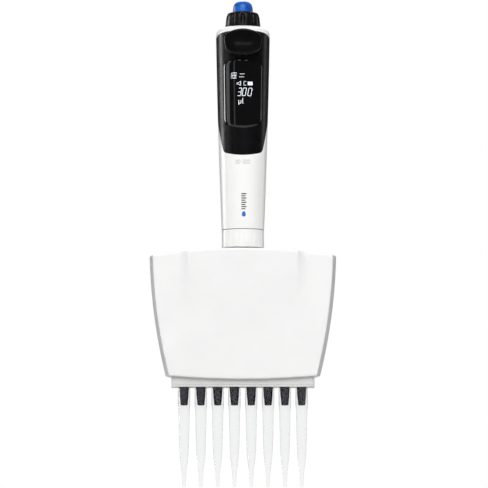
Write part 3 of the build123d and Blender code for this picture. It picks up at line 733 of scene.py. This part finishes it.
def window_base(x, z):
    """The smooth surface that the window stands on: ellipses that widen evenly with height."""
    t = (z - SECTION_HEIGHTS[0]) / (SECTION_HEIGHTS[1] - SECTION_HEIGHTS[0])
    (low_half, low_depth), (high_half, high_depth) = WINDOW_SECTIONS
    return -lerp(low_depth, high_depth, t) * math.sqrt(1 - (x / lerp(low_half, high_half, t)) ** 2)


def window_face(x, z):
    return window_base(x, z) - WINDOW_PROUD


def display_window():
    """The glossy window, a little proud of the fascia, with a chamfered rim."""
    low, high = corners("display_lens")
    loop = arched_loop(low.z, 2.6, 9.8, high.z, 2.2, 10.2, 2.6, 20, 8)
    walls = [(0.0, lambda x, z: window_base(x, z) + 0.5), (0.0, lambda x, z: window_base(x, z) + 0.05)]
    for inset, rise in ((0.25, 0.25), (0.5, 0.5), (0.8, 0.8), (1.05, 1.0)):
        walls.append((inset, lambda x, z, rise=rise: window_base(x, z) - WINDOW_PROUD * rise))
    shape = pillow(loop, walls, 18, window_face, lambda x, z: window_base(x, z) + 0.5)
    made = piece("display_cover", *shape, MATERIALS["display_window"], "handle", 12.5)
    return stands_for(made, "display_window", "display_lens")


def knob():
    """The adjusting knob: ten shallow flutes that run out below its rounded shoulder."""
    low, high = corners("adjusting_knob")
    bottom, top, outer = low.z, high.z, 9.5
    inner, recess, floor = 4.7, 5.95, bottom + 2.8
    profile = rounded([
        (inner, bottom), (outer, bottom), (outer - 0.15, bottom + 1.4), (8.95, top - 2.6),
        (8.1, top - 0.5), (6.7, top), (recess, top), (recess, floor), (inner, floor),
    ], {1: 0.3, 3: 1.6, 4: 0.9, 5: 0.4, 6: 0.3})
    flutes = 10

    def fluted(angle, radius, height):
        if radius < 7.4:
            return radius
        wave = math.cos(flutes * (angle + math.pi / 2))
        groove = max(0.0, (wave + 0.1) / 1.1) ** 1.4
        fade = smooth((top - 0.6 - height) / 1.6) * smooth((height - bottom - 0.5) / 0.5)
        return radius - 0.75 * groove * fade

    points, faces = lathe(profile, 240, shift=fluted)
    made = piece("fluted_knob", points, faces, MATERIALS["black_knob"], "knob", 35.0)
    return stands_for(made, "black_knob", "adjusting_knob")


def button():
    """The push button: a domed cap with a rounded edge, over its stem."""
    low, high = corners("operating_button")
    top, skirt, ceiling = high.z, 253.3, 256.4
    dome = [
        (0.0, 0.0), (1.5, 0.07), (2.6, 0.25), (3.4, 0.55), (4.0, 0.95), (4.5, 1.5), (4.85, 2.2),
        (5.1, 3.0), (5.28, 4.0), (5.45, 5.4), (5.6, 7.0), (5.65, top - skirt),
    ]
    profile = [(radius, top - drop) for radius, drop in dome]
    profile += [(4.6, skirt), (4.6, ceiling), (2.2, ceiling), (2.2, low.z), (0.0, low.z)]
    profile = rounded(profile, {11: 0.3, 12: 0.2}, 6)
    made = piece("push_button", *lathe(profile, 96, closed=False), MATERIALS["blue_button"], "button", 50.0)
    return stands_for(made, "blue_button", "operating_button")


# ---------------------------------------------------------------- tips

TIP_RIM = corners("tip_1")[1].z
TIP_OUTER = [
    (0.8, 0.0), (1.0, 3.9), (1.3, 8.8), (1.75, 12.5), (2.3, 16.3), (2.5, 21.0),
    (2.8, 32.4), (2.92, 40.6), (3.2, 43.0), (3.3, TIP_RIM),
]
TIP_INNER = [
    (2.67, TIP_RIM), (2.6, 43.4), (2.52, 41.2), (2.42, 32.4), (2.12, 21.0), (1.92, 16.3),
    (1.4, 12.5), (0.97, 8.8), (0.7, 3.9), (0.55, 0.0),
]


def tips():
    """Eight tips: a ribbed collar, a step below it, and a drawn-out point."""
    ribs = 9
    turn = math.radians(97)
    shape = rounded(TIP_OUTER + TIP_INNER, {0: 0.15, 3: 2.0, 4: 2.5, 7: 1.0, 8: 1.0, 9: 0.2, 10: 0.15}, 4)

    def ribbed(angle, radius, height):
        if radius < 3.05 or height < 43.0:
            return radius
        fade = smooth((height - 43.2) / 1.2) * smooth((TIP_RIM - 0.9 - height) / 0.3)
        return radius + 0.13 * fade * max(0.0, math.cos(ribs * (angle + turn))) ** 6

    for number in range(1, 9):
        low, high = corners(f"tip_{number}")
        points, faces = lathe(shape, 84, (low.x + high.x) / 2, ribbed)
        made = piece(f"clear_tip_{number}", points, faces, MATERIALS["clear_tip"], "tip_row", 40.0)
        stands_for(made, "clear_tip", f"tip_{number}")


# ---------------------------------------------------------------- display and marks


def stroke(start, end, thickness):
    """A bar between two (x, z) points, as a list of small quads for bending over a surface."""
    a, b = Vector(start), Vector(end)
    along = (b - a).normalized()
    across = Vector((-along.y, along.x)) * thickness / 2
    parts = max(1, round((b - a).length / 0.5))
    quads = []
    for k in range(parts):
        p, q = a.lerp(b, k / parts), a.lerp(b, (k + 1) / parts)
        quads.append((p - across, q - across, q + across, p + across))
    return quads


def marking(name, quads, finish, surface, height):
    """Thin raised ink over a surface: each quad becomes a low block."""
    points, faces = [], []
    for quad in quads:
        base = len(points)
        for lift in (height, -0.02):
            points += [(p.x, surface(p.x, p.y) - lift, p.y) for p in quad]
        faces.append((base, base + 1, base + 2, base + 3))
        for k in range(4):
            n = (k + 1) % 4
            faces.append((base + k, base + 4 + k, base + 4 + n, base + n))
    mesh = bpy.data.meshes.new(name)
    mesh.from_pydata([Vector(p) * MM for p in points], [], faces)
    mesh.materials.append(finish)
    made = bpy.data.objects.new(name, mesh)
    bpy.context.scene.collection.objects.link(made)
    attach(made, "handle")
    return made


SEGMENT_LINES = {
    "a": ((0, 1), (1, 1)), "b": ((1, 1), (1, 0.5)), "c": ((1, 0.5), (1, 0)), "d": ((0, 0), (1, 0)),
    "e": ((0, 0.5), (0, 0)), "f": ((0, 1), (0, 0.5)), "g": ((0, 0.5), (1, 0.5)),
}
DIGIT_SEGMENTS = {"3": "abcdg", "0": "abcdef"}


def digit(character, x, z, width, height, thickness, slant):
    """A seven-segment digit whose lower left corner is at (x, z)."""
    quads = []
    for name in DIGIT_SEGMENTS[character]:
        (x0, z0), (x1, z1) = SEGMENT_LINES[name]
        start = Vector((x + x0 * width + z0 * slant, z + z0 * height))
        end = Vector((x + x1 * width + z1 * slant, z + z1 * height))
        gap = (end - start).normalized() * thickness * 0.3
        quads += stroke(start + gap, end - gap, thickness)
    return quads


def display_figures():
    """What the display shows: a volume with its unit, and symbols for sound and charge."""
    quads = []
    for character, x in (("3", -3.0), ("0", -0.5), ("0", 2.5)):
        quads += digit(character, x, 208.9, 1.75, 4.1, 0.32, 0.75)
    for start, end in (
        ((-2.2, 204.0), (-2.2, 206.6)), ((-2.2, 205.0), (-1.9, 204.9)), ((-1.9, 204.9), (-1.0, 204.9)),
        ((-1.0, 204.9), (-1.0, 206.6)), ((-0.1, 204.9), (-0.1, 207.6)), ((-0.1, 204.9), (0.3, 204.9)),
    ):
        quads += stroke(start, end, 0.3)
    quads += stroke((2.6, 215.5), (5.2, 215.5), 1.9)
    for z in (214.5, 216.5):
        quads += stroke((0.6, z), (1.9, z), 0.22)
    quads += stroke((0.5, 214.6), (0.5, 216.4), 0.22)
    quads += stroke((-1.2, 214.3), (-1.2, 216.7), 0.3)
    quads += stroke((-1.3, 214.4), (-2.8, 215.4), 0.24)
    quads += stroke((-1.3, 216.6), (-2.8, 215.6), 0.24)
    quads += stroke((-3.1, 214.9), (-3.1, 216.1), 0.24)
    for x in (-6.3, -5.5, -4.7, -3.9):
        quads += stroke((x, 218.2), (x + 0.25, 221.3), 0.2)
    for z in (218.3, 219.8, 221.3):
        quads += stroke((-5.6, z), (-3.4, z), 0.2)
    marking("display_figures", quads, SEGMENTS, window_face, 0.05)
    faint = stroke((-2.0, 219.0), (0.6, 219.0), 0.42) + stroke((-1.7, 220.6), (0.9, 220.6), 0.42)
    marking("display_faint_figures", faint, GREY_INK, window_face, 0.05)


def shell_marks():
    """The volume range under the display, and a plain mark of eight ticks and a drop."""
    quads = []
    x = -4.1
    for character in "30-300":
        if character == "-":
            quads += stroke((x - 0.1, 173.6), (x + 0.6, 173.6), 0.28)
            x += 1.0
            continue
        quads += digit(character, x, 172.6, 0.95, 1.95, 0.3, 0.15)
        x += 1.45
    marking("range_marks", quads, GREY_INK, on_handle, 0.03)
    ticks = []
    for k in range(8):
        z = 148.4 + 1.15 * k
        ticks += stroke((-0.8, z), (1.9 if k % 2 else 1.3, z), 0.6)
    marking("scale_ticks", ticks, DARK_INK, on_handle, 0.03)
    drop = []
    for k in range(12):
        t0, t1 = k / 12, (k + 1) / 12
        half0 = 1.25 * math.sqrt(max(0.0, 1 - (2 * t0 - 1) ** 2)) * (1 - 0.35 * t0)
        half1 = 1.25 * math.sqrt(max(0.0, 1 - (2 * t1 - 1) ** 2)) * (1 - 0.35 * t1)
        z0, z1 = 144.2 + 3.0 * t0, 144.2 + 3.0 * t1
        for hand in (-1, 1):
            drop.append((
                Vector((0.5, z0)), Vector((0.5 + hand * half0, z0)),
                Vector((0.5 + hand * half1, z1)), Vector((0.5, z1)),
            ))
    marking("drop_mark", drop, BLUE_INK, on_handle, 0.03)


# ---------------------------------------------------------------- studio


AIM = Vector((0.6, 0.0, 130.45)) * MM
CAMERA_DISTANCE = 2.5
CAMERA_ELEVATION = math.radians(-4.5)
VIEW_WIDTH = 0.2622
FLOOR = -0.12


def from_object(azimuth, elevation, distance):
    """A point round the aim: azimuth 0 is in front of the display, and 90 is at its right (+X)."""
    a, e = math.radians(azimuth), math.radians(elevation)
    return AIM + Vector((math.sin(a) * math.cos(e), -math.cos(a) * math.cos(e), math.sin(e))) * distance


def soft_light(name, azimuth, elevation, distance, width, height, radiance, diffuse=True):
    """A rectangular light that faces the object, given by its radiance.
    One without diffuse only shows in reflections."""
    light = bpy.data.lights.new(name, "AREA")
    light.shape = "RECTANGLE"
    light.size = width
    light.size_y = height
    light.energy = radiance * math.pi * width * height
    made = bpy.data.objects.new(name, light)
    made.location = from_object(azimuth, elevation, distance)
    made.visible_diffuse = diffuse
    made.visible_camera = False
    made.visible_transmission = False
    made.rotation_euler = (AIM - made.location).to_track_quat("-Z", "Y").to_euler()
    bpy.context.scene.collection.objects.link(made)


def studio_lights():
    soft_light("front_light", 0, 42, 1.5, 1.2, 0.9, 5.7)
    soft_light("low_light", 2, -36, 1.3, 1.1, 0.5, 3.0)
    soft_light("left_soft", -78, 4, 1.2, 0.45, 1.3, 1.3, diffuse=False)
    soft_light("left_band", -42, 4, 1.2, 0.12, 1.3, 0.8, diffuse=False)
    soft_light("left_back", -116, 0, 1.1, 0.26, 1.2, 10.0, diffuse=False)
    soft_light("right_back", 118, 0, 1.1, 0.2, 1.2, 2.2, diffuse=False)
    soft_light("back_light", 180, 40, 1.5, 1.2, 0.8, 2.6)


def surroundings():
    """A white backdrop for what is looked at or through, and a grey room in reflections."""
    world = bpy.data.worlds.new("studio")
    bpy.context.scene.world = world
    world.use_nodes = True
    tree = world.node_tree
    background = tree.nodes["Background"]
    paths = tree.nodes.new("ShaderNodeLightPath")

    def levels(factor, low, high):
        node = tree.nodes.new("ShaderNodeMix")
        node.data_type = "FLOAT"
        tree.links.new(factor, node.inputs[0])
        for socket, value in ((2, low), (3, high)):
            if hasattr(value, "node"):
                tree.links.new(value, node.inputs[socket])
            else:
                node.inputs[socket].default_value = value
        return node.outputs[0]

    level = levels(paths.outputs["Is Glossy Ray"], 0.32, 0.06)
    level = levels(paths.outputs["Is Transmission Ray"], level, 1.0)
    level = levels(paths.outputs["Is Camera Ray"], level, 1.0)
    tree.links.new(level, background.inputs["Strength"])
    background.inputs["Color"].default_value = (1, 1, 1, 1)


def studio_floor():
    """A pale floor below the object, with a faint mottle."""
    half = 1.6
    made, tree, shader = material("pale_floor")
    tree.links.new(
        mix_colours(tree, noise(tree, 6.0), (0.86, 0.86, 0.86), (0.82, 0.82, 0.82)),
        shader.inputs["Base Color"],
    )
    tree.links.new(map_range(tree, noise(tree, 30.0), 0.5, 0.7), shader.inputs["Roughness"])
    mesh = bpy.data.meshes.new("floor")
    steps = 9
    points = [
        (lerp(-half, half, i / (steps - 1)), lerp(-half, half, j / (steps - 1)), FLOOR)
        for i in range(steps) for j in range(steps)
    ]
    mesh.from_pydata(points, [], grid_faces(steps, steps))
    mesh.materials.append(made)
    floor = bpy.data.objects.new("floor", mesh)
    bpy.context.scene.collection.objects.link(floor)


def camera():
    """A long lens a little below the object's middle."""
    lens = bpy.data.cameras.new("camera")
    lens.sensor_width = 36.0
    lens.lens = lens.sensor_width * CAMERA_DISTANCE / VIEW_WIDTH
    lens.clip_end = 20.0
    made = bpy.data.objects.new("camera", lens)
    offset = Vector((0, -math.cos(CAMERA_ELEVATION), math.sin(CAMERA_ELEVATION)))
    made.location = AIM + offset * CAMERA_DISTANCE
    made.rotation_euler = (-offset).to_track_quat("-Z", "Y").to_euler()
    bpy.context.scene.collection.objects.link(made)
    bpy.context.scene.camera = made


dress_frame()
head_covers()
tip_key()
display_window()
knob()
button()
tips()
display_figures()
shell_marks()
studio_floor()
surroundings()
studio_lights()
camera()
bpy.context.scene.view_settings.view_transform = "Standard"
